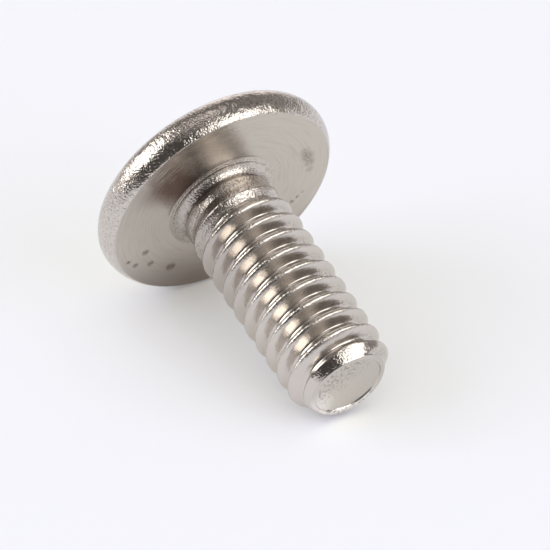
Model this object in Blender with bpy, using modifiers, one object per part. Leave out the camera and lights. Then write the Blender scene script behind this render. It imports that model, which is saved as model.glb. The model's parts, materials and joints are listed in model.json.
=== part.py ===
"""A truss head machine screw, made in one piece, lying on its side as it comes to rest.

The screw is first modelled upright. Its axis is the Z axis, the bearing face under the head is at z = 0, the head is
above that face and the shank hangs below it. The finished screw is then laid on its side: it touches the ground with
the rim of the head and with the last full turn of the thread, and its tip points along +X.
"""
from math import asin, atan2, ceil, cos, hypot, pi, radians, sin, tan

import bmesh
import bpy
from mathutils import Matrix, Vector

# Head, in metres.
HEAD_DIAMETER = 0.0152
HEAD_HEIGHT = 0.0037
BEARING_DIAMETER = 0.0143
RIM_HEIGHT = 0.0011
SHOULDER_RADIUS = 0.0010

# Collar and fillet where the shank leaves the head.
COLLAR_DIAMETER = 0.0067
COLLAR_HEIGHT = 0.00012
FILLET_RADIUS = 0.00035
FILLET_BURY = 0.00010
NECK_DIAMETER = 0.0057

# Thread: a right-hand 60 degree form with a narrow crest and a rounded root, fading out towards the head.
MAJOR_DIAMETER = 0.0063
THREAD_PITCH = 0.00127
FLANK_ANGLE = radians(30)
CREST_WIDTH = 0.00025
ROOT_RADIUS = 0.00018
CREST_OFFSET = 0.00042
RUNOUT_LENGTH = 0.0034
FORM_AT_HEAD = 0.1

# Length of the shank, and its chamfered, cupped end.
SHANK_LENGTH = 0.0149
TIP_DIAMETER = 0.00465
CHAMFER_LENGTH = 0.00085
LIP_WIDTH = 0.00016
LIP_ROUNDING = 0.00005
CUP_DEPTH = 0.00014

# Cross recess in the dome.
RECESS_WIDTH = 0.0068
RECESS_DEPTH = 0.0029
RECESS_FLOOR_WIDTH = 0.0026
WING_THICKNESS = 0.00135
WING_FLOOR_THICKNESS = 0.00095
CORE_DIAMETER = 0.0034
CORE_FLOOR_DIAMETER = 0.0019
CORE_POINT_DEPTH = 0.0004

# Fineness of the round shapes.
HEAD_STEPS = 48
THREAD_STEPS = 48
CORE_STEPS = 16
DOME_ARC_STEPS = 5
SHOULDER_ARC_STEPS = 4
RIM_ARC_STEPS = 4
FILLET_ARC_STEPS = 2
ROOT_ARC_STEPS = 3
MERGE_DISTANCE = 1e-6
OVERRUN = 0.0008
SHARP_ANGLE = radians(28)

STEEL_COLOUR = (0.62, 0.59, 0.56, 1.0)
STEEL_ROUGHNESS = 0.28


def clear_scene():
    for item in list(bpy.data.objects):
        bpy.data.objects.remove(item, do_unlink=True)


def add_collection(name):
    collection = bpy.data.collections.new(name)
    bpy.context.scene.collection.children.link(collection)
    return collection


def add_object(name, mesh, collection):
    item = bpy.data.objects.new(name, mesh)
    collection.objects.link(item)
    return item


def add_guide(name, mesh, collection):
    """A shape that only cuts, trims or joins the screw."""
    guide = add_object(name, mesh, collection)
    guide.hide_render = True
    guide.display_type = "WIRE"
    return guide


def mesh_from_bmesh(name, bm):
    mesh = bpy.data.meshes.new(name)
    bm.to_mesh(mesh)
    bm.free()
    return mesh


def evaluated_mesh(item):
    """A copy of the object's mesh with its modifiers carried out."""
    bpy.context.view_layer.update()
    graph = bpy.context.evaluated_depsgraph_get()
    return bpy.data.meshes.new_from_object(item.evaluated_get(graph), depsgraph=graph)


def arc(centre, radius, start, end, steps):
    """Points (radius, height) on an arc, with angles measured from straight up towards the outside."""
    angles = [start + (end - start) * index / steps for index in range(steps + 1)]
    return [(centre[0] + radius * sin(angle), centre[1] + radius * cos(angle)) for angle in angles]


def profile_mesh(name, points, steps):
    """A profile in a plane through the axis, half a step round, so that a flat facet faces along -X."""
    half_step = pi / steps
    bm = bmesh.new()
    ring = [bm.verts.new((radius * cos(half_step), radius * sin(half_step), height)) for radius, height in points]
    for upper, lower in zip(ring, ring[1:]):
        bm.edges.new((upper, lower))
    return mesh_from_bmesh(name, bm)


def spin(item, steps, rise=0.0, turns=1):
    modifier = item.modifiers.new("spin", "SCREW")
    modifier.axis = "Z"
    modifier.angle = 2 * pi
    modifier.steps = steps
    modifier.render_steps = steps
    modifier.screw_offset = rise
    modifier.iterations = turns
    modifier.use_merge_vertices = True
    modifier.merge_threshold = MERGE_DISTANCE


def combine(item, operation, other):
    modifier = item.modifiers.new(operation.lower(), "BOOLEAN")
    modifier.operation = operation
    modifier.solver = "EXACT"
    modifier.object = other


def head_outline():
    """The head from the top of its dome, round the rim and the bearing face, to a plug inside the shank."""
    outer = HEAD_DIAMETER / 2
    neck = NECK_DIAMETER / 2
    shoulder = (outer - SHOULDER_RADIUS, RIM_HEIGHT)
    crown = HEAD_HEIGHT - RIM_HEIGHT
    dome_radius = (shoulder[0] ** 2 + crown ** 2 - SHOULDER_RADIUS ** 2) / (2 * (crown - SHOULDER_RADIUS))
    dome_centre = (0.0, HEAD_HEIGHT - dome_radius)
    tangent = atan2(shoulder[0], RIM_HEIGHT - dome_centre[1])
    rim_width = outer - BEARING_DIAMETER / 2
    rim_radius = (RIM_HEIGHT ** 2 + rim_width ** 2) / (2 * rim_width)
    rim_end = pi / 2 + asin(RIM_HEIGHT / rim_radius)
    fillet_centre = (neck - FILLET_BURY + FILLET_RADIUS, -COLLAR_HEIGHT - FILLET_RADIUS)
    plug = -COLLAR_HEIGHT - FILLET_RADIUS - COLLAR_HEIGHT
    points = arc(dome_centre, dome_radius, 0.0, tangent, DOME_ARC_STEPS)
    points += arc(shoulder, SHOULDER_RADIUS, tangent, pi / 2, SHOULDER_ARC_STEPS)[1:]
    points += arc((outer - rim_radius, RIM_HEIGHT), rim_radius, pi / 2, rim_end, RIM_ARC_STEPS)[1:]
    points += [(COLLAR_DIAMETER / 2, 0.0), (COLLAR_DIAMETER / 2 - COLLAR_HEIGHT / 2, -COLLAR_HEIGHT)]
    points += arc(fillet_centre, FILLET_RADIUS, 0.0, -pi / 2, FILLET_ARC_STEPS)
    return points + [(neck - FILLET_RADIUS, plug), (0.0, plug)]


def end_outline():
    """The bar that the threaded rod is trimmed to: a cylinder with the chamfer, the lip and the cup at its end."""
    tip = TIP_DIAMETER / 2
    sleeve = MAJOR_DIAMETER / 2 + LIP_WIDTH
    slope = (MAJOR_DIAMETER / 2 - tip) / CHAMFER_LENGTH
    cup_edge = tip - LIP_WIDTH
    cup_wall = CUP_DEPTH / 2
    return [
        (0.0, OVERRUN),
        (sleeve, OVERRUN),
        (sleeve, (sleeve - tip) / slope - SHANK_LENGTH),
        (tip, -SHANK_LENGTH + LIP_ROUNDING),
        (tip - LIP_ROUNDING, -SHANK_LENGTH),
        (cup_edge, -SHANK_LENGTH),
        (cup_edge - cup_wall, -SHANK_LENGTH + CUP_DEPTH),
        (0.0, -SHANK_LENGTH + CUP_DEPTH),
    ]


def thread_section():
    """One pitch of the thread, downwards from the upper corner of a crest to the next one."""
    crest = MAJOR_DIAMETER / 2
    groove_width = THREAD_PITCH - CREST_WIDTH
    tangent_width = 2 * ROOT_RADIUS * cos(FLANK_ANGLE)
    flank_depth = (groove_width - tangent_width) / 2 / tan(FLANK_ANGLE)
    root_centre = (crest - flank_depth + ROOT_RADIUS * sin(FLANK_ANGLE), -CREST_WIDTH - groove_width / 2)
    root = arc(root_centre, ROOT_RADIUS, -FLANK_ANGLE, FLANK_ANGLE - pi, ROOT_ARC_STEPS)
    return [(crest, 0.0), (crest, -CREST_WIDTH)] + root + [(crest, -THREAD_PITCH)]


def thread_strength(height):
    """How far the thread is formed at a height: a trace at the head, all of it past the run-out."""
    progress = min(max(-height / RUNOUT_LENGTH, 0.0), 1.0)
    return FORM_AT_HEAD + (1 - FORM_AT_HEAD) * progress * progress * (3 - 2 * progress)


def close_end(bm, loop_edges, height):
    """Close a helical end with triangles to a point on the axis."""
    centre = bm.verts.new((0.0, 0.0, height))
    for edge in loop_edges:
        bm.faces.new((*edge.verts, centre))


def threaded_rod_mesh(guides):
    """A rod with the helical thread all along it, longer than the shank at both ends."""
    half_step_rise = THREAD_PITCH / (2 * THREAD_STEPS)
    crest_height = -CREST_OFFSET + half_step_rise + CREST_WIDTH / 2
    turns_below = ceil((crest_height + SHANK_LENGTH + OVERRUN) / THREAD_PITCH)
    lowest = crest_height - turns_below * THREAD_PITCH
    turns = ceil((2 * OVERRUN - lowest) / THREAD_PITCH) + 1
    section = [(radius, lowest + height) for radius, height in thread_section()]
    sweep = add_guide("thread_sweep", profile_mesh("thread_section", section, THREAD_STEPS), guides)
    spin(sweep, THREAD_STEPS, THREAD_PITCH, turns)
    bm = bmesh.new()
    bm.from_mesh(evaluated_mesh(sweep))
    bmesh.ops.remove_doubles(bm, verts=bm.verts, dist=MERGE_DISTANCE)
    neck = NECK_DIAMETER / 2
    for vert in bm.verts:
        radius = hypot(vert.co.x, vert.co.y)
        formed = neck + (radius - neck) * thread_strength(vert.co.z)
        vert.co.x *= formed / radius
        vert.co.y *= formed / radius
    middle = lowest + turns * THREAD_PITCH / 2
    open_edges = [edge for edge in bm.edges if edge.is_boundary]
    lower = [edge for edge in open_edges if edge.verts[0].co.z < middle]
    upper = [edge for edge in open_edges if edge.verts[0].co.z > middle]
    close_end(bm, lower, lowest)
    close_end(bm, upper, lowest + (turns - 1) * THREAD_PITCH)
    bmesh.ops.recalc_face_normals(bm, faces=bm.faces)
    return mesh_from_bmesh("threaded_rod", bm)


def tapered_size(top_size, floor_size):
    """The size of a recess shape above the dome, with the taper that it has from floor to dome carried on."""
    return top_size + (top_size - floor_size) * OVERRUN / RECESS_DEPTH


def wing_mesh(name):
    """A block across the recess, tapered in width and thickness, that stands above the dome."""
    top = HEAD_HEIGHT + OVERRUN
    floor = HEAD_HEIGHT - RECESS_DEPTH
    top_width = tapered_size(RECESS_WIDTH, RECESS_FLOOR_WIDTH)
    top_thickness = tapered_size(WING_THICKNESS, WING_FLOOR_THICKNESS)
    bm = bmesh.new()
    bmesh.ops.create_cube(bm, size=1.0)
    for vert in bm.verts:
        if vert.co.z > 0:
            vert.co = Vector((vert.co.x * top_width, vert.co.y * top_thickness, top))
        else:
            vert.co = Vector((vert.co.x * RECESS_FLOOR_WIDTH, vert.co.y * WING_FLOOR_THICKNESS, floor))
    return mesh_from_bmesh(name, bm)


def recess_core_outline():
    """The round core of the recess, with a shallow point below the floor of the wings."""
    top = HEAD_HEIGHT + OVERRUN
    floor = HEAD_HEIGHT - RECESS_DEPTH
    top_radius = tapered_size(CORE_DIAMETER, CORE_FLOOR_DIAMETER) / 2
    return [(0.0, top), (top_radius, top), (CORE_FLOOR_DIAMETER / 2, floor), (0.0, floor - CORE_POINT_DEPTH)]


def recess_cutters(guides):
    lengthwise = add_guide("recess_wing", wing_mesh("recess_wing"), guides)
    crosswise = add_guide("recess_cross_wing", wing_mesh("recess_cross_wing"), guides)
    crosswise.rotation_euler.z = pi / 2
    core = add_guide("recess_core", profile_mesh("recess_core", recess_core_outline(), CORE_STEPS), guides)
    spin(core, CORE_STEPS)
    return [lengthwise, crosswise, core]


def screw_mesh(guides):
    """The whole screw, upright: the head, joined to the trimmed thread and cut by the recess."""
    rod = add_guide("threaded_rod", threaded_rod_mesh(guides), guides)
    end = add_guide("shank_end", profile_mesh("shank_end", end_outline(), THREAD_STEPS), guides)
    spin(end, THREAD_STEPS)
    combine(rod, "INTERSECT", end)
    head = add_guide("head", profile_mesh("head", head_outline(), HEAD_STEPS), guides)
    spin(head, HEAD_STEPS)
    combine(head, "UNION", rod)
    for cutter in recess_cutters(guides):
        combine(head, "DIFFERENCE", cutter)
    mesh = evaluated_mesh(head)
    mesh.name = "screw"
    mesh.shade_smooth()
    mesh.set_sharp_from_angle(angle=SHARP_ANGLE)
    return mesh


def steel():
    material = bpy.data.materials.new("nickel_plated_steel")
    material.use_nodes = True
    shader = material.node_tree.nodes["Principled BSDF"]
    shader.inputs["Base Color"].default_value = STEEL_COLOUR
    shader.inputs["Metallic"].default_value = 1.0
    shader.inputs["Roughness"].default_value = STEEL_ROUGHNESS
    return material


def height_when_tilted(point, tilt):
    """Height of a point of the upright screw once its axis lies at this angle to the ground."""
    return point.x * cos(tilt) + point.z * sin(tilt)


def resting_tilt(points):
    """The angle at which the head and the shank both touch the ground, found by halving an interval."""
    head = [point for point in points if point.z > 0]
    shank = [point for point in points if point.z < 0]
    low, high = 0.0, pi / 2
    while high - low > 1e-9:
        tilt = (low + high) / 2
        head_height = min(height_when_tilted(point, tilt) for point in head)
        shank_height = min(height_when_tilted(point, tilt) for point in shank)
        if head_height < shank_height:
            low = tilt
        else:
            high = tilt
    return (low + high) / 2


def lay_down(screw):
    """Turn the screw onto its side and set it on the ground, centred on the origin."""
    points = [vert.co for vert in screw.data.vertices]
    turn = resting_tilt(points) - pi / 2
    placed = [Matrix.Rotation(turn, 3, "Y") @ point for point in points]
    middle = [(min(place[axis] for place in placed) + max(place[axis] for place in placed)) / 2 for axis in range(2)]
    screw.rotation_euler.y = turn
    screw.location = (-middle[0], -middle[1], -min(place.z for place in placed))


def main():
    clear_scene()
    parts = add_collection("truss_head_screw")
    guides = add_collection("guides")
    screw = add_object("screw", screw_mesh(guides), parts)
    screw.data.materials.clear()
    screw.data.materials.append(steel())
    lay_down(screw)


main()
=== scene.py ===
"""Looks of a truss head machine screw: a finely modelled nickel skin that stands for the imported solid.

The skin is built upright, as the solid is: its axis is Z, the bearing face is at z = 0, the head is above
that face and the shank hangs below it. It is then turned and set where the record's mount says that the
bearing face lies. Lengths are in metres. Angles round the axis start at +X, the side that comes to lie
uppermost.
"""
import json
from math import asin, atan2, ceil, cos, pi, radians, sin, sqrt, tan

import bpy
from mathutils import Matrix, Vector, noise

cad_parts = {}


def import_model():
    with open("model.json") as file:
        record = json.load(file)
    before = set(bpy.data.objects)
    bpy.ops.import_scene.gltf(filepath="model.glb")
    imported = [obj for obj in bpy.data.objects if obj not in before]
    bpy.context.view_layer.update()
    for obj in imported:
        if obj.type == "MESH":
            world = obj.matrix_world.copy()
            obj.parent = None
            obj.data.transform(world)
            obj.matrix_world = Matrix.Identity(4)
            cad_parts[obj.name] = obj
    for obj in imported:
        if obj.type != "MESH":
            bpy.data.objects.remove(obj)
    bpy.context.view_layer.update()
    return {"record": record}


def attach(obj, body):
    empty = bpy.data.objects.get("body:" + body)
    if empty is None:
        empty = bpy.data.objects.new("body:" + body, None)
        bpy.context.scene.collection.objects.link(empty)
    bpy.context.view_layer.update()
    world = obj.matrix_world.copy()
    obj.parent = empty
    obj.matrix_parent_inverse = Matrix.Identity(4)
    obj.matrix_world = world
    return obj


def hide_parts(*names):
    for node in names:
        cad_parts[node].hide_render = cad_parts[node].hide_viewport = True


# The solid's facets lie inside its round sizes, and the skin keeps inside the facets.
FACETS = 48
FACET_SHARE = cos(pi / FACETS)
CLEARANCE = 0.000003

# Head.
HEAD_RADIUS = 0.0152 / 2 * FACET_SHARE - CLEARANCE
HEAD_HEIGHT = 0.0037
BEARING_RADIUS = 0.0143 / 2 * FACET_SHARE
RIM_HEIGHT = 0.0011
SHOULDER_RADIUS = 0.0010

# Outline of the dome, an arc that meets the shoulder's arc without a corner.
CROWN = HEAD_HEIGHT - RIM_HEIGHT
SHOULDER = (HEAD_RADIUS - SHOULDER_RADIUS, RIM_HEIGHT)
DOME_RADIUS = (SHOULDER[0] ** 2 + CROWN ** 2 - SHOULDER_RADIUS ** 2) / (2 * (CROWN - SHOULDER_RADIUS))
DOME_CENTRE = HEAD_HEIGHT - DOME_RADIUS
DOME_ANGLE = atan2(SHOULDER[0], RIM_HEIGHT - DOME_CENTRE)

# Where the rim meets the bearing face, as (distance past the face's edge, height).
RIM_EDGE = ((0.000012, 0.00003), (-0.000012, 0.000008), (-0.00004, 0.0))

# How far a seed moves the pattern of the noise along each axis.
SEED_STEPS = (1.0, 2.7, -1.3)

# Dents of the rim. Noise is given in layers of (share, size of its features, seed).
DENT_DEPTH = 0.000010
DENT_NOISE = ((0.6, 0.00045, 3.1), (0.4, 0.00017, 9.4))
DENT_FADE_HEIGHT = 0.00012
DENT_INWARD = 0.9
DENT_ALONG = 0.2

# Rings of the bearing face, then the fine groove turned in it, as (radius, height).
FACE_RADII = [radius * FACET_SHARE for radius in (0.0071, 0.0067, 0.0061, 0.0055, 0.0049, 0.0044, 0.0040)]
FACE_GROOVE = ((0.00385, 0.0), (0.00366, 0.0), (0.00364, 0.000008), (0.00362, 0.0))

# The shallow cone where the shank leaves the head, with one fine groove, as (radius, height).
COLLAR = (
    (0.00356, 0.0),
    (0.00350, -0.000008),
    (0.00337, -0.000022),
    (0.00334, -0.000044),
    (0.00331, -0.000038),
    (0.00320, -0.000055),
    (0.00310, -0.00009),
    (0.00300, -0.00015),
    (0.00292, -0.00023),
    (0.00285, -0.00033),
    (0.00279, -0.00041),
)
COLLAR_ROUGH = 0.7
UNDERCUT_HEIGHT = -0.00045
UNDERCUT_REACH = 0.0003
UNDERCUT_DEPTH = 0.00011
NECK_RADIUS = 0.0057 / 2 * FACET_SHARE

# Thread.
CREST_RADIUS = 0.0063 / 2 * FACET_SHARE
PITCH = 0.00127
FLANK_ANGLE = radians(30)
CREST_WIDTH = 0.00025
ROOT_RADIUS = 0.00018
GROOVE_WIDTH = PITCH - CREST_WIDTH
FLANK_DEPTH = (GROOVE_WIDTH - 2 * ROOT_RADIUS * cos(FLANK_ANGLE)) / 2 / tan(FLANK_ANGLE)
ROOT_CENTRE = CREST_RADIUS - FLANK_DEPTH + ROOT_RADIUS * sin(FLANK_ANGLE)
CREST_OFFSET = 0.00042
CREST_ROUNDING = 0.00018
RUNOUT_START = 0.0004
RUNOUT_LENGTH = 0.0031

# The seam that rolling leaves along the crests, broken up by noise.
SEAM_WIDTH = 0.00005
SEAM_DEPTH = 0.00002
SEAM_REACH = 0.00020
SEAM_MEAN = 0.5
SEAM_NOISE = ((1.2, 0.0006, 5.3),)

# Where the last crest meets the chamfer, its flank towards the tip is cut back and deeper.
LAST_FLANK_START = -0.01445
LAST_FLANK_END = -0.0136
LAST_FLANK_FADE = 0.00035
LAST_FLANK_SHIFT = 0.00016
LAST_FLANK_DEPTH = 0.17

# Chamfer, which is cut back more steeply on one side. Here and below, a pair is where a smooth rise starts
# and where it ends.
SHANK_LENGTH = 0.0149
TIP_RADIUS = 0.00465 / 2 * FACET_SHARE
CHAMFER_SLOPE = 0.63
CHAMFER_ROUNDING = 0.0002
CUT_SLOPE = 1.0
CUT_HEIGHT = 0.00062
CUT_ROUNDING = 0.00001
CUT_BEGINS = (0.0, radians(70))
CUT_ENDS = (radians(200), radians(120))

# How rough the shank is, from 0 to 1: the ends of the seams, the first turns and one side of the chamfer.
SEAM_ENDS = ((-0.0142, -0.0139), (-0.0004, -0.0008))
FIRST_TURNS_ROUGH = 0.75
FIRST_TURNS_ENDS = ((-0.0034, -0.0022), (-0.0006, -0.0009))
CHAMFER_ROUGH = 0.6
CHAMFER_ROUGH_TOP = (-0.0141, -0.0144)
CHAMFER_ROUGH_ENDS = ((radians(-75), radians(-50)), (radians(80), radians(50)))
BRIGHT_SMOOTHER = 0.38
BRIGHT_ENDS = ((0.0, radians(8)), (radians(30), radians(22)))

# Burr on one side of the end face, and how much of it each of the first rings of the tip has.
BURR = 0.00022
BURR_ANGLE = radians(165)
BURR_REACH = radians(75)
BURR_MEAN = 0.75
BURR_NOISE = ((0.35, 0.25, 4.4), (0.25, 0.08, 8.8))
BURR_SHARES = (0.0, 0.7, 1.0, 1.0, 0.95, 0.3, 0.15)

# Rings of the tip. Those on the chamfer are heights above the end. Those of the lip and the cup are (distance
# past their edge, height above the end), and the last ones are shares of the cup's radius.
LIP_WIDTH = 0.00016
CUP_RADIUS = TIP_RADIUS - LIP_WIDTH
CUP_DEPTH = 0.00014
CHAMFER_RINGS = (0.00012, 0.00005)
LIP_OUTLINE = ((-0.00001, 0.00002), (-0.00005, 0.000004), (-0.00008, 0.0))
CUP_OUTLINE = (
    (0.00002, 0.0),
    (-0.00001, 0.000015),
    (-0.00003, 0.4 * CUP_DEPTH),
    (-0.00006, 0.9 * CUP_DEPTH),
    (-0.00010, CUP_DEPTH),
)
CUP_SHARES = (0.85, 0.6, 0.35, 0.15)

# Cross recess. Its mouth is rounded in steps of (outwards, down), as shares of the rounding.
RECESS_WIDTH = 0.0068
RECESS_DEPTH = 0.0029
RECESS_FLOOR_WIDTH = 0.0026
WING_THICKNESS = 0.00135
WING_FLOOR_THICKNESS = 0.00095
CORE_DIAMETER = 0.0034
CORE_FLOOR_DIAMETER = 0.0019
CORE_POINT_DEPTH = 0.0004
RECESS_ROUNDING = 0.00018
RECESS_CORNER = 0.00004
RECESS_FLOOR_SHARES = (0.3, 0.65, 1.0)
MOUTH_ROUNDING = 0.00010
MOUTH_OUTLINE = ((0.15, 0.4), (0.5, 0.1), (1.0, 0.0))
MOUTH_STEPS = 12
LEAST_SINE = 0.01

# Fineness of the skin. The rows of the thread lie at these shares of the pitch from a crest's middle.
RIM_COLUMNS = 640
HEAD_COLUMNS = 320
SHANK_COLUMNS = 160
RECESS_ROWS = 9
DOME_ROWS = 14
SHOULDER_ROWS = 14
RIM_ROWS = 16
HALF_PITCH_ROWS = [0.0, 0.018, 0.036, 0.055, 0.075, 0.095, 0.12, 0.15, 0.2, 0.265, 0.33, 0.39, 0.445]
THREAD_ROWS = HALF_PITCH_ROWS + [0.5] + [1 - share for share in reversed(HALF_PITCH_ROWS[1:])]
SNAP_DISTANCE = 0.00002
SHARP_ANGLE = radians(38)

# Order of the materials.
THREAD, RIM, BEARING, DOME, RECESS, TIP = range(6)

# Attributes of the skin that the finishes read.
UPRIGHT = "upright"
ROUGH = "rough"

# The mount's point lies this far up the bearing face from the screw's axis.
MOUNT_RISE = 0.005

# Colours of the metal, and of what tints it. The dark tint stands both for dirt and specks and for painted
# shade.
METAL = (0.64, 0.595, 0.545)
CROPPED_METAL = (0.60, 0.56, 0.52)
DIRT_AND_SHADE = (0.15, 0.11, 0.095)
# Brown of a painted dark reflection of the shank on the bearing face.
PAINTED_REFLECTION_BROWN = (0.17, 0.10, 0.08)
# The pale tint also paints glints on the bearing face.
PALE = (0.85, 0.81, 0.78)

# Grain of the finishes, in layers of (size of its features, detail, height).
THREAD_GRAIN = ((0.0003, 2.0, 0.00001), (0.00012, 2.0, 0.000003), (0.0008, 2.0, 0.000012))
RIM_GRAIN = ((0.0004, 2.0, 0.00005),)
RIM_FINE_GRAIN = ((0.00011, 2.0, 0.00002),)
BEARING_GRAIN = ((0.0005, 3.0, 0.000008),)
DOME_GRAIN = ((0.0004, 3.0, 0.00001),)
RECESS_GRAIN = ((0.0002, 2.0, 0.000006),)
TIP_GRAIN = ((0.0002, 3.0, 0.000012),)

# Detail of the marks that run round the axis.
MARKS_DETAIL = 2.0

# Specks and patches, as (size of the features, detail, noise where they begin, noise where they are full).
THREAD_SPECKS = (0.00013, 3.0, 0.5, 0.62)
GROOVE_SPECKS = (0.00011, 3.0, 0.48, 0.62)
RIM_PATCHES = (0.0014, 1.0, 0.3, 0.52)
RIM_SPECKS = (0.00013, 3.0, 0.5, 0.62)
MARK_SPECKS = (0.0001, 3.0, 0.38, 0.53)
TIP_SPECKS = (0.00017, 4.0, 0.45, 0.64)
LIP_BITES = (0.0002, 3.0, 0.52, 0.6)

# Finish of the thread: roughness, rolling marks as (width, turns, height), grain of the rough parts, tints,
# some of them painted shade.
CHAMFER_ROUGHNESS = 0.13
THREAD_ROUGHNESS = 0.23
ABOVE_CHAMFER = (-0.0144, -0.0140)
ON_CHAMFER = (-0.0140, -0.0144)
ON_FIRST_TURNS = (-0.0036, -0.0026)
ROLLING_MARKS = (0.00006, 6.0, 0.000006)
ROUGH_GRAIN = (0.00012, 1.0, 0.00005)
ROUGH_POWER = 1.5
SPECKS_TINT = 0.5
# Dark specks in the thread roots on the +Y side: partly grime, partly painted shade.
GROOVE_RADIUS = (0.0030, 0.0027)
GROOVE_SHADE_SIDE = (-0.0008, 0.0008)
GROOVE_GRIME_AND_SHADE_TINT = 0.4
# Painted shade in the undercut below the collar, all round.
UNDERCUT_SHADE_ENDS = ((-0.0003, -0.00045), (-0.0008, -0.0006))
UNDERCUT_SHADE_TINT = 0.4
# Painted shade on the low side of the first turns.
LOW_FLANK_SHADE_ALONG = (-0.0100, -0.0045)
LOW_FLANK_SHADE_SIDE = (-0.0012, -0.0028)
LOW_FLANK_SHADE_TINT = 0.25

# Finish of the rim.
RIM_ROUGHNESS = 0.12
RIM_PATCH_GRAIN = (0.00012, 1.5, 0.000035)
RIM_TINT = 0.3

# Finish of the bearing face: a painted dark reflection of the shank, lathe marks, streaks, scratches painted
# pale as glints in its upper part and painted shade darkening its low side.
BEARING_ROUGHNESS = 0.25
BEARING_BLUR = 0.75
PAINTED_REFLECTION_ANGLES = ((radians(-78), radians(-56)), (radians(-24), radians(-44)))
PAINTED_REFLECTION_RADII = (0.0076, 0.0050)
PAINTED_REFLECTION_TINT = 0.85
LATHE_MARKS = (0.00007, 2.5, 0.000008)
LATHE_SHARE = 0.4
LATHE_SHARE_IN_PAINTED_REFLECTION = 2.0
STREAKS = (0.0001, 3.0)
STREAKS_RISE = (0.45, 0.75)
STREAKS_TINT = 0.15
# Scratches painted pale as glints of light, next to the painted reflection.
SCRATCH_GLINTS = (0.00006, 5.0)
SCRATCH_GLINTS_RISE = (0.54, 0.66)
SCRATCH_GLINTS_ANGLES = ((radians(-65), radians(-45)), (radians(5), radians(-10)))
SCRATCH_GLINTS_RADII = (0.0046, 0.0060)
# Painted shade, darker towards the low side of the bearing face.
PAINTED_SHADE_LOW_SIDE = (-0.002, -0.0068)
PAINTED_SHADE_LOW_SIDE_TINT = 0.7

# Pits, a scratch and a worn patch on the bearing face: angle in degrees, radius and size in metres, darkness.
FACE_MARKS = (
    (-148.5, 0.00546, 0.00046, 1.0),
    (-130.5, 0.00570, 0.00034, 0.75),
    (-122.4, 0.00638, 0.00028, 0.85),
    (-117.0, 0.00544, 0.00034, 0.85),
    (-116.0, 0.00659, 0.00024, 0.85),
    (113.5, 0.00552, 0.00024, 0.8),
    (109.5, 0.00572, 0.00020, 0.7),
    (105.5, 0.00592, 0.00016, 0.6),
    (67.0, 0.00562, 0.00050, 0.4),
    (73.0, 0.00572, 0.00060, 0.6),
    (79.5, 0.00580, 0.00050, 0.45),
    (86.0, 0.00584, 0.00036, 0.35),
)
MARK_CORE = 0.3

# Finish of the dome and of the recess.
DOME_ROUGHNESS = 0.24
RECESS_ROUGHNESS = 0.3

# Finish of the tip: its pale corner, the pale and bitten low side of the lip, and where its specks are.
TIP_ROUGHNESS = 0.24
PALE_AROUND = (-0.0004, -0.0014)
PALE_ACROSS = (0.0002, -0.0012)
PALE_TINT = 0.8
LIP_RADII = (0.00205, 0.00215)
LIP_LOW_SIDE = (-0.0008, -0.0016)
BITES_TINT = 0.5
SPECKED_CORNER = (-0.0008, 0.0018)
SPECKED_RADII = (0.0022, 0.0018)
SPECKED_TINT = 0.5
SPECKS_LEAST_TINT = 0.05

# The paper, from the middle to its edges: the dark room beyond them shows in the metal.
FLOOR_FRONT = 0.045
FLOOR_LEFT = 0.09
FLOOR_FAR = 1.5
FLOOR_COLOUR = (0.9, 0.9, 0.91)

# Softboxes: name, azimuth, elevation, half the width and half the height in degrees, and how bright they are
# for the floor and in the metal.
SOFTBOXES = (
    ("left_softbox", -113, 30, 23, 17, 2.3, 3.5),
    ("right_softbox", 28, 30, 25, 18, 1.75, 2.2),
)
SOFTBOX_DISTANCE = 0.6
SOFTBOX_GAP = 0.01
FLOOR_LIGHT_COLOUR = (0.64, 0.64, 1.0)
MIRRORED_COLOUR = (1.0, 0.99, 0.97)

# What the metal mirrors of the studio, as (sine of the elevation, grey): the sides, which are what the three
# parts below leave, then the pale backdrop, the left and the dark room behind the camera.
SIDE_GREYS = ((0.0, 0.38), (0.17, 0.32), (0.5, 0.3), (0.77, 0.22), (0.93, 0.2), (0.965, 0.5), (0.99, 1.0))
BACK_GREYS = ((0.0, 1.6), (0.3, 1.2), (0.5, 0.75), (0.7, 0.4), (0.93, 0.32), (0.97, 0.6), (0.99, 1.0))
LEFT_GREYS = ((0.0, 0.6), (0.17, 0.4), (0.5, 0.3), (0.75, 0.12), (0.88, 0.14), (0.94, 0.6), (0.985, 1.0))
ROOM_GREYS = ((0.0, 0.2), (0.17, 0.06), (0.6, 0.08), (0.77, 0.18), (0.87, 0.35), (0.94, 0.6), (0.985, 1.0))

# Parts of the studio: azimuth in degrees, cosines from it where the part begins and is full, and its greys.
STUDIO_PARTS = (
    (165, 0.7, 0.88, BACK_GREYS),
    (-114, 0.1, 0.4, LEFT_GREYS),
    (-45, 0.45, 0.75, ROOM_GREYS),
)
STUDIO_TINT = (1.04, 0.97, 0.95)

# Even light, what the metal throws back on the floor, and the backdrop that only the camera sees.
AMBIENT = (0.84, 0.84, 0.78, 1.0)
CAST_BACK = (2.35, 2.5, 2.0, 1.0)
BACKDROP = (0.92, 0.92, 0.98, 1.0)

# Camera, fitted to the photograph.
IMAGE_SIZE = 550
FOCAL_LENGTH = 4000
PIXELS_PER_METRE = 17363
CAMERA_AZIMUTH = -30.64
CAMERA_ELEVATION = 35.62
TARGET_ALONG_SHANK = 0.008
TARGET_PIXEL_OFFSET = (14.46, 24.02)
SENSOR_WIDTH = 36.0
CLIP = (0.01, 10.0)


def smooth_min(first, second, blend):
    """The lesser of two values, with the corner between them rounded off."""
    overlap = max(blend - abs(first - second), 0.0) / blend
    return min(first, second) - overlap * overlap * blend / 4


def smooth_max(first, second, blend):
    return -smooth_min(-first, -second, blend)


def smooth_step(progress):
    progress = min(max(progress, 0.0), 1.0)
    return progress * progress * (3 - 2 * progress)


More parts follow.
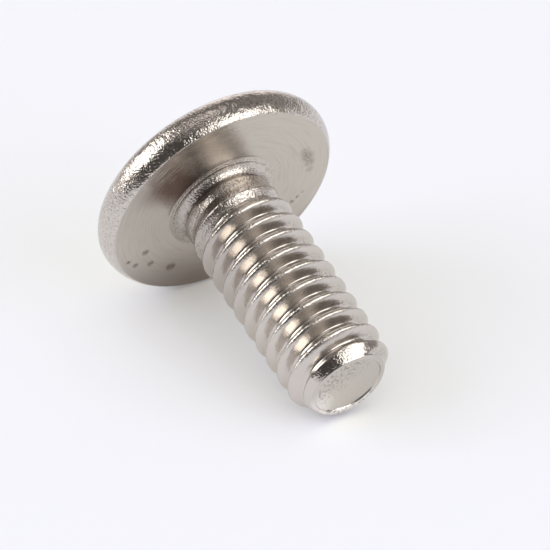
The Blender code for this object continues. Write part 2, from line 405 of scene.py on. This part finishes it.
def rise(value, start, end):
    """A smooth rise from 0 at the start to 1 at the end, also where the end is the lower of the two."""
    return smooth_step((value - start) / (end - start))


def between(value, ends):
    """From 0 to 1 and back, where the ends are two pairs for a rise."""
    return rise(value, *ends[0]) * rise(value, *ends[1])


def wrapped(angle, period=2 * pi):
    """The angle, brought within half a period of zero."""
    return (angle + period / 2) % period - period / 2


def direction(azimuth, elevation=0.0):
    """A unit vector, with azimuth in degrees from +X towards +Y."""
    turn, up = radians(azimuth), radians(elevation)
    return Vector((cos(turn) * cos(up), sin(turn) * cos(up), sin(up)))


def on_axis(height):
    return Vector((0.0, 0.0, height))


def round_axis(radius, angle, height=0.0):
    """A point at a distance from the axis."""
    return Vector((radius * cos(angle), radius * sin(angle), height))


def speckle(point, grain, seed):
    """Smooth noise from -1 to 1 with features of about the grain's size."""
    return noise.noise(point / grain + Vector([step * seed for step in SEED_STEPS]))


def layered(point, layers):
    """Noise added up from layers of (share, grain, seed)."""
    return sum(share * speckle(point, grain, seed) for share, grain, seed in layers)


def arc(centre, radius, start, end, steps):
    """Points (radius, height) on an arc, with angles measured from straight up towards the outside."""
    angles = [start + (end - start) * index / steps for index in range(steps + 1)]
    return [(centre[0] + radius * sin(angle), centre[1] + radius * cos(angle)) for angle in angles]


class Skin:
    """The points and faces of the skin, added ring by ring from the recess to the tip."""

    def __init__(self):
        self.points = []
        self.rough = []
        self.faces = []
        self.finishes = []

    def point(self, place, rough=0.0):
        """A point, with how rough the metal is there, from 0 to 1."""
        self.points.append(place)
        self.rough.append(rough)
        return len(self.points) - 1

    def ring(self, columns, place):
        """A ring of points, where place gives a (radius, height) for each angle round the axis."""
        indices = []
        for column in range(columns):
            angle = 2 * pi * column / columns
            radius, height = place(angle)
            indices.append(self.point(round_axis(radius, angle, height)))
        return indices

    def circle(self, columns, radius, height, rough=0.0):
        """A ring of points on a circle."""
        angles = [2 * pi * column / columns for column in range(columns)]
        return [self.point(round_axis(radius, angle, height), rough) for angle in angles]

    def face(self, corners, finish):
        """A face, if its corners are at least three different points."""
        corners = [corner for index, corner in enumerate(corners) if corner != corners[index - 1]]
        if len(corners) > 2 and len(set(corners)) == len(corners):
            self.faces.append(corners)
            self.finishes.append(finish)

    def bridge(self, upper, lower, finish):
        """Faces between two rings with as many points, or with twice as many in one of them."""
        if len(upper) == len(lower):
            for column in range(len(upper)):
                after = (column + 1) % len(upper)
                self.face([upper[column], lower[column], lower[after], upper[after]], finish)
        elif len(upper) > len(lower):
            for column in range(len(lower)):
                first, middle, last = 2 * column, 2 * column + 1, (2 * column + 2) % len(upper)
                after = (column + 1) % len(lower)
                self.face([upper[first], lower[column], upper[middle]], finish)
                self.face([upper[middle], lower[column], lower[after]], finish)
                self.face([upper[middle], lower[after], upper[last]], finish)
        else:
            for column in range(len(upper)):
                first, middle, last = 2 * column, 2 * column + 1, (2 * column + 2) % len(lower)
                after = (column + 1) % len(upper)
                self.face([upper[column], lower[first], lower[middle]], finish)
                self.face([upper[column], lower[middle], upper[after]], finish)
                self.face([upper[after], lower[middle], lower[last]], finish)

    def chain(self, rings, finish):
        for upper, lower in zip(rings, rings[1:]):
            self.bridge(upper, lower, finish)

    def close(self, ring, place, finish, upward):
        """Faces from a ring to a point on the axis."""
        centre = self.point(place)
        for column in range(len(ring)):
            pair = [ring[column], ring[(column + 1) % len(ring)]]
            self.face([centre, *(pair if upward else reversed(pair))], finish)

    def mesh(self, name, materials):
        mesh = bpy.data.meshes.new(name)
        mesh.from_pydata(self.points, [], self.faces)
        for material in materials:
            mesh.materials.append(material)
        mesh.polygons.foreach_set("material_index", self.finishes)
        mesh.shade_smooth()
        mesh.set_sharp_from_angle(angle=SHARP_ANGLE)
        upright = mesh.attributes.new(UPRIGHT, "FLOAT_VECTOR", "POINT")
        upright.data.foreach_set("vector", [value for place in self.points for value in place])
        rough = mesh.attributes.new(ROUGH, "FLOAT", "POINT")
        rough.data.foreach_set("value", self.rough)
        return mesh


def dome_height(radius):
    return DOME_CENTRE + sqrt(DOME_RADIUS ** 2 - radius ** 2)


def recess_reach(angle, height):
    """Distance from the axis to the recess wall, in a direction and at a height."""
    share = (HEAD_HEIGHT - height) / RECESS_DEPTH
    half_width = (RECESS_WIDTH + (RECESS_FLOOR_WIDTH - RECESS_WIDTH) * share) / 2
    half_thickness = (WING_THICKNESS + (WING_FLOOR_THICKNESS - WING_THICKNESS) * share) / 2
    core = (CORE_DIAMETER + (CORE_FLOOR_DIAMETER - CORE_DIAMETER) * share) / 2
    turn = wrapped(angle, pi / 2)
    wing_side = half_thickness / max(abs(sin(turn)), LEAST_SINE)
    wing = smooth_min(half_width / cos(turn), wing_side, RECESS_ROUNDING)
    return smooth_max(wing, core, RECESS_ROUNDING)


def recess_edge(angle):
    """Where the recess wall meets the dome, in a direction."""
    radius = RECESS_WIDTH / 2
    for _ in range(MOUTH_STEPS):
        radius = recess_reach(angle, dome_height(radius))
    return radius


def add_recess(skin):
    """The recess, from its point up to the ring round its mouth."""
    floor = HEAD_HEIGHT - RECESS_DEPTH
    wall_foot = floor + RECESS_CORNER
    rings = []
    for share in RECESS_FLOOR_SHARES:
        def floor_place(angle):
            reach = min(recess_reach(angle, floor), CORE_FLOOR_DIAMETER / 2)
            return reach * share, floor - CORE_POINT_DEPTH * (1 - share)
        rings.append(skin.ring(HEAD_COLUMNS, floor_place))
    skin.close(rings[0], on_axis(floor - CORE_POINT_DEPTH), RECESS, True)
    rings.append(skin.ring(HEAD_COLUMNS, lambda angle: (recess_reach(angle, floor) - RECESS_CORNER, floor)))
    rings.append(skin.ring(HEAD_COLUMNS, lambda angle: (recess_reach(angle, wall_foot), wall_foot)))
    for row in range(1, RECESS_ROWS + 1):
        def wall(angle):
            top = dome_height(recess_edge(angle)) - MOUTH_ROUNDING
            height = wall_foot + (top - wall_foot) * row / RECESS_ROWS
            return recess_reach(angle, height), height
        rings.append(skin.ring(HEAD_COLUMNS, wall))
    for out, down in MOUTH_OUTLINE:
        def mouth(angle):
            radius = recess_edge(angle) + out * MOUTH_ROUNDING
            return radius, dome_height(radius) - down * MOUTH_ROUNDING
        rings.append(skin.ring(HEAD_COLUMNS, mouth))
    skin.chain(list(reversed(rings)), RECESS)
    return rings[-1]


def add_dome(skin, mouth):
    """The dome, from the mouth of the recess to the shoulder."""
    outer = DOME_RADIUS * sin(DOME_ANGLE)
    rings = [mouth]
    for row in range(1, DOME_ROWS + 1):
        def place(angle):
            inner = recess_edge(angle) + MOUTH_ROUNDING
            radius = inner + (outer - inner) * row / DOME_ROWS
            return radius, dome_height(radius)
        rings.append(skin.ring(HEAD_COLUMNS, place))
    skin.chain(rings, DOME)
    return rings[-1]


def add_rim(skin, dome_edge):
    """The shoulder and the rim, dented by tumbling, down to the edge of the bearing face."""
    width = HEAD_RADIUS - BEARING_RADIUS
    radius = (RIM_HEIGHT ** 2 + width ** 2) / (2 * width)
    end = pi / 2 + asin(RIM_HEIGHT / radius)
    centre = (HEAD_RADIUS - radius, RIM_HEIGHT)
    outline = arc(SHOULDER, SHOULDER_RADIUS, DOME_ANGLE, pi / 2, SHOULDER_ROWS)[1:]
    outline += arc(centre, radius, pi / 2, end, RIM_ROWS)[1:-1]
    outline += [(BEARING_RADIUS + out, height) for out, height in RIM_EDGE]
    rings = [dome_edge]
    for out, height in outline:
        def place(angle):
            dent = DENT_DEPTH * smooth_step(height / DENT_FADE_HEIGHT)
            dent *= layered(round_axis(out, angle, height), DENT_NOISE) - 1
            above_rim = (height - RIM_HEIGHT) / RIM_HEIGHT
            return out + dent * DENT_INWARD, height + dent * DENT_ALONG * above_rim
        rings.append(skin.ring(RIM_COLUMNS, place))
    skin.chain(rings, RIM)
    return rings[-1]


def add_bearing_face(skin, rim_edge):
    """The bearing face with a fine turned groove, and the collar down to the neck."""
    rings = [rim_edge]
    rings += [skin.circle(HEAD_COLUMNS, radius, 0.0) for radius in FACE_RADII]
    rings += [skin.circle(SHANK_COLUMNS, radius, height) for radius, height in (*FACE_GROOVE, COLLAR[0])]
    skin.chain(rings, BEARING)
    collar_rings = rings[-1:]
    for radius, height in COLLAR[1:]:
        collar_rings.append(skin.circle(SHANK_COLUMNS, radius, height, COLLAR_ROUGH))
    skin.chain(collar_rings, THREAD)
    return collar_rings[-1], COLLAR[-1][1]


def nearest_crest(angle, height):
    """Height of the middle of the crest that is nearest to a place on the shank."""
    start = PITCH * angle / (2 * pi) - CREST_OFFSET
    return start + round((height - start) / PITCH) * PITCH


def thread_radius(distance):
    """Radius of the fully formed thread at a distance along the axis from a crest's middle."""
    flank = CREST_RADIUS - (distance - CREST_WIDTH / 2) / tan(FLANK_ANGLE)
    from_root = PITCH / 2 - distance
    if from_root < ROOT_RADIUS * cos(FLANK_ANGLE):
        flank = ROOT_CENTRE - sqrt(ROOT_RADIUS ** 2 - from_root ** 2)
    return smooth_min(CREST_RADIUS, flank, CREST_ROUNDING)


def chamfer_radius(angle, height):
    """Radius of the chamfer, which is cut back more steeply next to the end face on one side."""
    cut = CUT_HEIGHT * between(wrapped(angle), (CUT_BEGINS, CUT_ENDS))
    above = height + SHANK_LENGTH
    plain = (CUT_SLOPE - CHAMFER_SLOPE) * cut + CHAMFER_SLOPE * above
    return TIP_RADIUS + smooth_min(CUT_SLOPE * above, plain, CUT_ROUNDING)


def shank_radius(angle, height):
    """Radius of the threaded shank, with its run-out, seam, undercut and chamfer."""
    crest = nearest_crest(angle, height)
    distance = abs(height - crest)
    last_flank = 0.0
    if height < crest:
        last_flank = smooth_step((crest - LAST_FLANK_START) / LAST_FLANK_FADE)
        last_flank *= smooth_step((LAST_FLANK_END - crest) / LAST_FLANK_FADE)
    depth = CREST_RADIUS - thread_radius(distance + LAST_FLANK_SHIFT * last_flank)
    formed = CREST_RADIUS - depth * (1 + LAST_FLANK_DEPTH * last_flank)
    strength = smooth_step((-height - RUNOUT_START) / RUNOUT_LENGTH)
    radius = NECK_RADIUS + (formed - NECK_RADIUS) * strength
    seam = smooth_step(1 - distance / SEAM_WIDTH)
    seam *= max(SEAM_MEAN + layered(round_axis(radius, angle, height), SEAM_NOISE), 0.0)
    radius -= SEAM_DEPTH * seam * strength
    radius -= UNDERCUT_DEPTH * smooth_step(1 - abs(height - UNDERCUT_HEIGHT) / UNDERCUT_REACH)
    return smooth_min(radius, chamfer_radius(angle, height), CHAMFER_ROUNDING)


def roughness_share(angle, height):
    """How rough a place on the shank is, from 0 to 1: seams, first turns and chamfer."""
    seam = smooth_step(1 - abs(height - nearest_crest(angle, height)) / SEAM_REACH)
    seam *= between(height, SEAM_ENDS)
    first_turns = FIRST_TURNS_ROUGH * between(height, FIRST_TURNS_ENDS)
    turn = wrapped(angle)
    chamfer = CHAMFER_ROUGH - BRIGHT_SMOOTHER * between(turn, BRIGHT_ENDS)
    chamfer *= between(turn, CHAMFER_ROUGH_ENDS) * rise(height, *CHAMFER_ROUGH_TOP)
    return max(seam, first_turns, chamfer)


def add_shank(skin, neck, neck_height, end, end_height):
    """The threaded shank, whose rows of points follow the helix and stop at the rings at both ends."""
    per_turn = len(THREAD_ROWS)
    turns = ceil((SHANK_LENGTH + PITCH) / PITCH) + 1
    first, last = -per_turn, turns * per_turn
    columns = []
    for column in range(SHANK_COLUMNS):
        angle = 2 * pi * column / SHANK_COLUMNS
        start = -CREST_OFFSET + PITCH * column / SHANK_COLUMNS
        indices = {}
        for row in range(first, last + 1):
            height = start - PITCH * (row // per_turn + THREAD_ROWS[row % per_turn])
            if height > neck_height - SNAP_DISTANCE:
                indices[row] = neck[column]
            elif height < end_height + SNAP_DISTANCE:
                indices[row] = end[column]
            else:
                place = round_axis(shank_radius(angle, height), angle, height)
                indices[row] = skin.point(place, roughness_share(angle, height))
        columns.append(indices)
    for column in range(SHANK_COLUMNS):
        here = columns[column]
        after = columns[(column + 1) % SHANK_COLUMNS]
        shift = -per_turn if column == SHANK_COLUMNS - 1 else 0
        for row in range(first, last):
            upper = after.get(row + shift, neck[0])
            lower = after.get(row + 1 + shift, neck[0])
            skin.face([here[row], here[row + 1], lower, upper], THREAD)


def burr(angle):
    """How far the ragged burr sticks out on one side of the end face."""
    off = abs(wrapped(angle - BURR_ANGLE))
    ragged = BURR_MEAN + layered(round_axis(1.0, angle), BURR_NOISE)
    return BURR * ragged * smooth_step(1 - off / BURR_REACH)


def add_tip(skin):
    """The rings of the tip: end of the chamfer, lip and cup. The first ring is the shank's last."""
    outline = [(None, above - SHANK_LENGTH) for above in CHAMFER_RINGS]
    outline += [(TIP_RADIUS + out, above - SHANK_LENGTH) for out, above in LIP_OUTLINE]
    outline += [(CUP_RADIUS + out, above - SHANK_LENGTH) for out, above in CUP_OUTLINE]
    outline += [(CUP_RADIUS * share, CUP_DEPTH - SHANK_LENGTH) for share in CUP_SHARES]
    rings = []
    for index, (radius, height) in enumerate(outline):
        burr_share = BURR_SHARES[index] if index < len(BURR_SHARES) else 0.0

        def place(angle):
            reach = chamfer_radius(angle, height) if radius is None else radius
            return reach + burr_share * burr(angle), height
        rings.append(skin.ring(SHANK_COLUMNS, place))
    skin.chain(rings, TIP)
    skin.close(rings[-1], on_axis(CUP_DEPTH - SHANK_LENGTH), TIP, False)
    return rings[0], outline[0][1]


def screw_skin(materials):
    skin = Skin()
    mouth = add_recess(skin)
    dome_edge = add_dome(skin, mouth)
    rim_edge = add_rim(skin, dome_edge)
    neck, neck_height = add_bearing_face(skin, rim_edge)
    end, end_height = add_tip(skin)
    add_shank(skin, neck, neck_height, end, end_height)
    return skin.mesh("screw_skin", materials)


def screw_tilt(record):
    """How far the screw's axis drops towards the tip."""
    return asin(-Vector(record["mounts"][0]["axis"]).normalized().z)


def frame_placement(record):
    """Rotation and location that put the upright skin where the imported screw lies."""
    tilt = screw_tilt(record)
    up_side = Vector((sin(tilt), 0.0, cos(tilt)))
    place = Vector(record["mounts"][0]["pos_m"]) - MOUNT_RISE * up_side
    return Matrix.Translation(place) @ Matrix.Rotation(tilt - pi / 2, 4, "Y")


class Finish:
    """A bare metal material whose colour, roughness and relief are built up in steps."""

    def __init__(self, name, roughness, colour=METAL):
        self.material = bpy.data.materials.new(name)
        self.material.use_nodes = True
        self.nodes = self.material.node_tree.nodes
        self.links = self.material.node_tree.links
        self.shader = self.nodes["Principled BSDF"]
        self.shader.inputs["Base Color"].default_value = (*colour, 1.0)
        self.shader.inputs["Metallic"].default_value = 1.0
        self.shader.inputs["Roughness"].default_value = roughness
        self.colour = None
        self.height = None
        self.upright = self.attribute(UPRIGHT, "Vector")
        split = self.node("ShaderNodeSeparateXYZ", Vector=self.upright)
        self.across, self.around, self.along = split.outputs
        self.radius = self.math("SQRT", self.math("ADD", self.product(self.across, self.across),
                                                  self.product(self.around, self.around)))

    def node(self, kind, **inputs):
        """A node with its inputs set or linked by their names, where a space is written as an underscore."""
        node = self.nodes.new(kind)
        for name, value in inputs.items():
            self.put(value, node.inputs[name.replace("_", " ")])
        return node

    def put(self, value, socket):
        if isinstance(value, bpy.types.NodeSocket):
            self.links.new(value, socket)
        else:
            socket.default_value = value

    def math(self, operation, first, second=0.0):
        node = self.nodes.new("ShaderNodeMath")
        node.operation = operation
        self.put(first, node.inputs[0])
        self.put(second, node.inputs[1])
        return node.outputs[0]

    def product(self, first, *others):
        for other in others:
            first = self.math("MULTIPLY", first, other)
        return first

    def attribute(self, name, output):
        node = self.nodes.new("ShaderNodeAttribute")
        node.attribute_name = name
        return node.outputs[output]

    def pattern(self, place, scale, detail):
        return self.node("ShaderNodeTexNoise", Vector=place, Scale=scale, Detail=detail).outputs["Fac"]

    def grain(self, size, detail):
        """Noise from 0 to 1 with features of about a size."""
        return self.pattern(self.upright, 1 / size, detail)

    def marks_around(self, width, turns):
        """Noise drawn out round the axis, as lathe and rolling marks are: its features have this width."""
        place = self.node(
            "ShaderNodeCombineXYZ",
            X=self.product(self.math("DIVIDE", self.across, self.radius), turns),
            Y=self.product(self.math("DIVIDE", self.around, self.radius), turns),
            Z=self.math("DIVIDE", self.math("SUBTRACT", self.radius, self.along), width))
        return self.pattern(place.outputs[0], 1.0, MARKS_DETAIL)

    def ramp(self, value, start, end):
        """A smooth rise from 0 at the start to 1 at the end, also where the end is the lower of the two."""
        node = self.node("ShaderNodeMapRange", Value=value, From_Min=start, From_Max=end)
        node.interpolation_type = "SMOOTHSTEP"
        return node.outputs["Result"]

    def within(self, *rises):
        """From 0 to 1 where every rise, a value with its start and end, is complete."""
        return self.product(*(self.ramp(value, *ends) for value, ends in rises))

    def between(self, value, ends):
        """From 0 to 1 and back, where the ends are two pairs for a ramp."""
        return self.within((value, ends[0]), (value, ends[1]))

    def specks(self, size, detail, start, end):
        """Specks or patches where the noise is above the start, full where it reaches the end."""
        return self.ramp(self.grain(size, detail), start, end)

    def near(self, angle, radius, size):
        """From 0 to 1 towards a place on the face below the head, given by its angle and radius."""
        node = self.node("ShaderNodeVectorMath")
        node.operation = "DISTANCE"
        self.put(self.upright, node.inputs[0])
        node.inputs[1].default_value = round_axis(radius, radians(angle))
        return self.ramp(node.outputs["Value"], size, MARK_CORE * size)

    def blur_along_radius(self, share, tilt):
        """Blurs reflections away from the axis, as turned grooves do, on a screw that lies at a tilt."""
        outward = self.node("ShaderNodeCombineXYZ", X=self.across, Y=self.around)
        turn = self.node("ShaderNodeVectorRotate", Vector=outward.outputs[0], Angle=tilt - pi / 2)
        turn.rotation_type = "Y_AXIS"
        self.links.new(turn.outputs[0], self.shader.inputs["Tangent"])
        self.shader.inputs["Anisotropic"].default_value = share

    def tint(self, share, colour):
        """Mixes a colour in by a share."""
        mix = self.nodes.new("ShaderNodeMix")
        mix.data_type = "RGBA"
        self.put(share, mix.inputs["Factor"])
        base = self.shader.inputs["Base Color"]
        self.put(self.colour if self.colour is not None else tuple(base.default_value), mix.inputs["A"])
        mix.inputs["B"].default_value = (*colour, 1.0)
        self.colour = mix.outputs["Result"]
        self.links.new(self.colour, base)

    def relief(self, value, height):
        """Adds to the surface's height."""
        part = self.product(value, height)
        self.height = part if self.height is None else self.math("ADD", self.height, part)

    def grained(self, layers):
        """Adds layers of (size, detail, height) to the surface's height."""
        for size, detail, height in layers:
            self.relief(self.grain(size, detail), height)

    def done(self):
        bump = self.node("ShaderNodeBump", Height=self.height, Strength=1.0, Distance=1.0)
        self.links.new(bump.outputs["Normal"], self.shader.inputs["Normal"])
        return self.material


def thread_finish():
    finish = Finish("rolled_thread", THREAD_ROUGHNESS)
    rough = finish.attribute(ROUGH, "Fac")
    matt = finish.product(finish.ramp(finish.along, *ABOVE_CHAMFER), THREAD_ROUGHNESS - CHAMFER_ROUGHNESS)
    finish.links.new(finish.math("ADD", matt, CHAMFER_ROUGHNESS), finish.shader.inputs["Roughness"])
    width, turns, height = ROLLING_MARKS
    finish.relief(finish.marks_around(width, turns), height)
    finish.grained(THREAD_GRAIN)
    size, detail, height = ROUGH_GRAIN
    strength = finish.math("POWER", rough, ROUGH_POWER)
    finish.relief(finish.product(finish.grain(size, detail), strength), height)
    specks = finish.specks(*THREAD_SPECKS)
    first_turns = finish.ramp(finish.along, *ON_FIRST_TURNS)
    ends = finish.math("MAXIMUM", first_turns, finish.ramp(finish.along, *ON_CHAMFER))
    finish.tint(finish.product(specks, rough, ends, SPECKS_TINT), DIRT_AND_SHADE)
    # Dark specks in the roots on the +Y side: partly grime, partly painted shade.
    grime_and_shade_in_grooves = finish.within((finish.radius, GROOVE_RADIUS), (finish.around, GROOVE_SHADE_SIDE))
    finish.tint(finish.product(finish.specks(*GROOVE_SPECKS), grime_and_shade_in_grooves, GROOVE_GRIME_AND_SHADE_TINT), DIRT_AND_SHADE)
    # Painted shade in the undercut below the collar.
    finish.tint(finish.product(finish.between(finish.along, UNDERCUT_SHADE_ENDS), UNDERCUT_SHADE_TINT), DIRT_AND_SHADE)
    # Painted shade on the low side of the first turns.
    flank = finish.within((finish.along, LOW_FLANK_SHADE_ALONG), (finish.around, LOW_FLANK_SHADE_SIDE))
    finish.tint(finish.product(flank, LOW_FLANK_SHADE_TINT), DIRT_AND_SHADE)
    return finish.done()


def rim_finish():
    finish = Finish("tumbled_rim", RIM_ROUGHNESS)
    finish.grained(RIM_GRAIN)
    size, detail, height = RIM_PATCH_GRAIN
    finish.relief(finish.product(finish.grain(size, detail), finish.specks(*RIM_PATCHES)), height)
    finish.grained(RIM_FINE_GRAIN)
    finish.tint(finish.product(finish.specks(*RIM_SPECKS), RIM_TINT), DIRT_AND_SHADE)
    return finish.done()


def bearing_finish(tilt):
    finish = Finish("turned_face", BEARING_ROUGHNESS)
    finish.blur_along_radius(BEARING_BLUR, tilt)
    angle = finish.math("ARCTAN2", finish.around, finish.across)
    # A painted dark reflection of the shank, in a wedge of the face that fades out towards the rim.
    painted_reflection = finish.between(angle, PAINTED_REFLECTION_ANGLES)
    painted_reflection = finish.product(painted_reflection, finish.ramp(finish.radius, *PAINTED_REFLECTION_RADII))
    finish.tint(finish.product(painted_reflection, PAINTED_REFLECTION_TINT), PAINTED_REFLECTION_BROWN)
    width, turns, height = LATHE_MARKS
    depth = finish.math("ADD", LATHE_SHARE, finish.product(painted_reflection, LATHE_SHARE_IN_PAINTED_REFLECTION))
    finish.relief(finish.product(finish.marks_around(width, turns), depth), height)
    finish.grained(BEARING_GRAIN)
    streaks = finish.ramp(finish.marks_around(*STREAKS), *STREAKS_RISE)
    finish.tint(finish.product(streaks, STREAKS_TINT), DIRT_AND_SHADE)
    # Scratches in the upper part, painted pale as glints of light.
    upper = finish.between(angle, SCRATCH_GLINTS_ANGLES)
    upper = finish.product(upper, finish.ramp(finish.radius, *SCRATCH_GLINTS_RADII))
    scratch_glints = finish.ramp(finish.marks_around(*SCRATCH_GLINTS), *SCRATCH_GLINTS_RISE)
    finish.tint(finish.product(scratch_glints, upper), PALE)
    # Painted shade, darker towards the low side of the face.
    finish.tint(finish.product(finish.ramp(finish.across, *PAINTED_SHADE_LOW_SIDE), PAINTED_SHADE_LOW_SIDE_TINT), DIRT_AND_SHADE)
    ragged = finish.specks(*MARK_SPECKS)
    for mark_angle, radius, size, darkness in FACE_MARKS:
        finish.tint(finish.product(finish.near(mark_angle, radius, size), ragged, darkness), DIRT_AND_SHADE)
    return finish.done()


def dome_finish():
    finish = Finish("struck_dome", DOME_ROUGHNESS)
    finish.grained(DOME_GRAIN)
    return finish.done()


def recess_finish():
    finish = Finish("struck_recess", RECESS_ROUGHNESS)
    finish.grained(RECESS_GRAIN)
    return finish.done()


def tip_finish():
    finish = Finish("cropped_tip", TIP_ROUGHNESS, CROPPED_METAL)
    finish.grained(TIP_GRAIN)
    pale = finish.within((finish.around, PALE_AROUND), (finish.across, PALE_ACROSS))
    finish.tint(finish.product(pale, PALE_TINT), PALE)
    lip = finish.within((finish.radius, LIP_RADII), (finish.across, LIP_LOW_SIDE))
    finish.tint(lip, PALE)
    finish.tint(finish.product(finish.specks(*LIP_BITES), lip, BITES_TINT), DIRT_AND_SHADE)
    corner = finish.ramp(finish.math("SUBTRACT", finish.across, finish.around), *SPECKED_CORNER)
    specked = finish.product(corner, finish.ramp(finish.radius, *SPECKED_RADII), SPECKED_TINT)
    share = finish.math("ADD", specked, SPECKS_LEAST_TINT)
    finish.tint(finish.product(finish.specks(*TIP_SPECKS), share), DIRT_AND_SHADE)
    return finish.done()


def add_floor():
    mesh = bpy.data.meshes.new("floor")
    forward = direction(CAMERA_AZIMUTH)
    left = direction(CAMERA_AZIMUTH - 90)
    corners = (
        (FLOOR_FRONT, FLOOR_LEFT),
        (FLOOR_FRONT, -FLOOR_FAR),
        (-FLOOR_FAR, -FLOOR_FAR),
        (-FLOOR_FAR, FLOOR_LEFT),
    )
    mesh.from_pydata([ahead * forward + aside * left for ahead, aside in corners], [], [(0, 1, 2, 3)])
    floor = bpy.data.objects.new("floor", mesh)
    bpy.context.scene.collection.objects.link(floor)
    material = bpy.data.materials.new("floor_white")
    material.use_nodes = True
    shader = material.node_tree.nodes["Principled BSDF"]
    shader.inputs["Base Color"].default_value = (*FLOOR_COLOUR, 1.0)
    shader.inputs["Roughness"].default_value = 1.0
    shader.inputs["Specular IOR Level"].default_value = 0.0
    mesh.materials.append(material)


def add_softbox(name, azimuth, elevation, half_width, half_height, lighting, mirrored):
    """A softbox as two lamps: one lights the floor, and one just in front of it is what metal mirrors."""
    towards = direction(azimuth, elevation)
    width = 2 * SOFTBOX_DISTANCE * tan(radians(half_width))
    height = 2 * SOFTBOX_DISTANCE * tan(radians(half_height))
    for part, radiance, colour, distance in (
            ("floor_light", lighting, FLOOR_LIGHT_COLOUR, SOFTBOX_DISTANCE),
            ("mirrored", mirrored, MIRRORED_COLOUR, SOFTBOX_DISTANCE - SOFTBOX_GAP)):
        data = bpy.data.lights.new(f"{name}_{part}", "AREA")
        data.shape = "RECTANGLE"
        data.size = width
        data.size_y = height
        data.energy = pi * width * height * radiance
        data.color = colour
        lamp = bpy.data.objects.new(data.name, data)
        bpy.context.scene.collection.objects.link(lamp)
        lamp.location = towards * distance
        lamp.rotation_mode = "QUATERNION"
        lamp.rotation_quaternion = (-towards).to_track_quat("-Z", "Y")
        lamp.visible_diffuse = part == "floor_light"
        lamp.visible_glossy = part == "mirrored"


def add_world():
    """Even light on the floor, and for the metal a studio to mirror."""
    world = bpy.data.worlds.new("studio")
    bpy.context.scene.world = world
    world.use_nodes = True
    nodes, links = world.node_tree.nodes, world.node_tree.links
    coordinates = nodes.new("ShaderNodeTexCoord").outputs["Generated"]
    split = nodes.new("ShaderNodeSeparateXYZ")
    links.new(coordinates, split.inputs[0])
    path = nodes.new("ShaderNodeLightPath")

    def greys(stops):
        node = nodes.new("ShaderNodeValToRGB")
        elements = node.color_ramp.elements
        while len(elements) < len(stops):
            elements.new(0.5)
        for element, (position, grey) in zip(elements, stops):
            element.position = position
            element.color = (*(grey * share for share in STUDIO_TINT), 1.0)
        links.new(split.outputs["Z"], node.inputs["Fac"])
        return node.outputs["Color"]

    def share_towards(azimuth, start, end):
        dot = nodes.new("ShaderNodeVectorMath")
        dot.operation = "DOT_PRODUCT"
        dot.inputs[1].default_value = direction(azimuth)
        links.new(coordinates, dot.inputs[0])
        share = nodes.new("ShaderNodeMapRange")
        share.interpolation_type = "SMOOTHSTEP"
        share.inputs["From Min"].default_value = start
        share.inputs["From Max"].default_value = end
        links.new(dot.outputs["Value"], share.inputs["Value"])
        return share.outputs["Result"]

    def mix(share, first, second):
        node = nodes.new("ShaderNodeMix")
        node.data_type = "RGBA"
        links.new(share, node.inputs["Factor"])
        for socket, value in zip((node.inputs["A"], node.inputs["B"]), (first, second)):
            if isinstance(value, tuple):
                socket.default_value = value
            else:
                links.new(value, socket)
        return node.outputs["Result"]

    def mirrored_and_bounces(operation):
        """Joins whether a ray comes off metal with how often it was scattered before, kept from 0 to 1."""
        node = nodes.new("ShaderNodeMath")
        node.operation = operation
        node.use_clamp = True
        links.new(path.outputs["Is Glossy Ray"], node.inputs[0])
        links.new(path.outputs["Diffuse Depth"], node.inputs[1])
        return node.outputs[0]

    studio = greys(SIDE_GREYS)
    for azimuth, start, end, stops in STUDIO_PARTS:
        studio = mix(share_towards(azimuth, start, end), studio, greys(stops))
    seen_in_metal = mirrored_and_bounces("SUBTRACT")
    onto_floor = mirrored_and_bounces("MULTIPLY")
    lighting = mix(seen_in_metal, mix(onto_floor, AMBIENT, CAST_BACK), studio)
    background = nodes["Background"]
    links.new(mix(path.outputs["Is Camera Ray"], lighting, BACKDROP), background.inputs["Color"])
    background.inputs["Strength"].default_value = 1.0


def add_camera(placement):
    back = direction(CAMERA_AZIMUTH, CAMERA_ELEVATION)
    right = direction(CAMERA_AZIMUTH + 90)
    up = back.cross(right)
    target = placement @ on_axis(-TARGET_ALONG_SHANK)
    across, down = (offset / PIXELS_PER_METRE for offset in TARGET_PIXEL_OFFSET)
    aim = target - across * right + down * up
    data = bpy.data.cameras.new("camera")
    data.sensor_width = SENSOR_WIDTH
    data.lens = FOCAL_LENGTH * SENSOR_WIDTH / IMAGE_SIZE
    data.clip_start, data.clip_end = CLIP
    camera = bpy.data.objects.new("camera", data)
    bpy.context.scene.collection.objects.link(camera)
    camera.location = target + FOCAL_LENGTH / PIXELS_PER_METRE * back
    camera.rotation_mode = "QUATERNION"
    camera.rotation_quaternion = (aim - camera.location).to_track_quat("-Z", "Y")
    bpy.context.scene.camera = camera


def main():
    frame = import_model()
    record = frame["record"]
    placement = frame_placement(record)
    materials = [
        thread_finish(),
        rim_finish(),
        bearing_finish(screw_tilt(record)),
        dome_finish(),
        recess_finish(),
        tip_finish(),
    ]
    mesh = screw_skin(materials)
    mesh.transform(placement)
    screw = bpy.data.objects.new("screw_skin", mesh)
    bpy.context.scene.collection.objects.link(screw)
    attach(screw, "root")
    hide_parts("screw")
    add_floor()
    for softbox in SOFTBOXES:
        add_softbox(*softbox)
    add_world()
    add_camera(placement)
    bpy.context.scene.view_settings.view_transform = "Standard"


main()
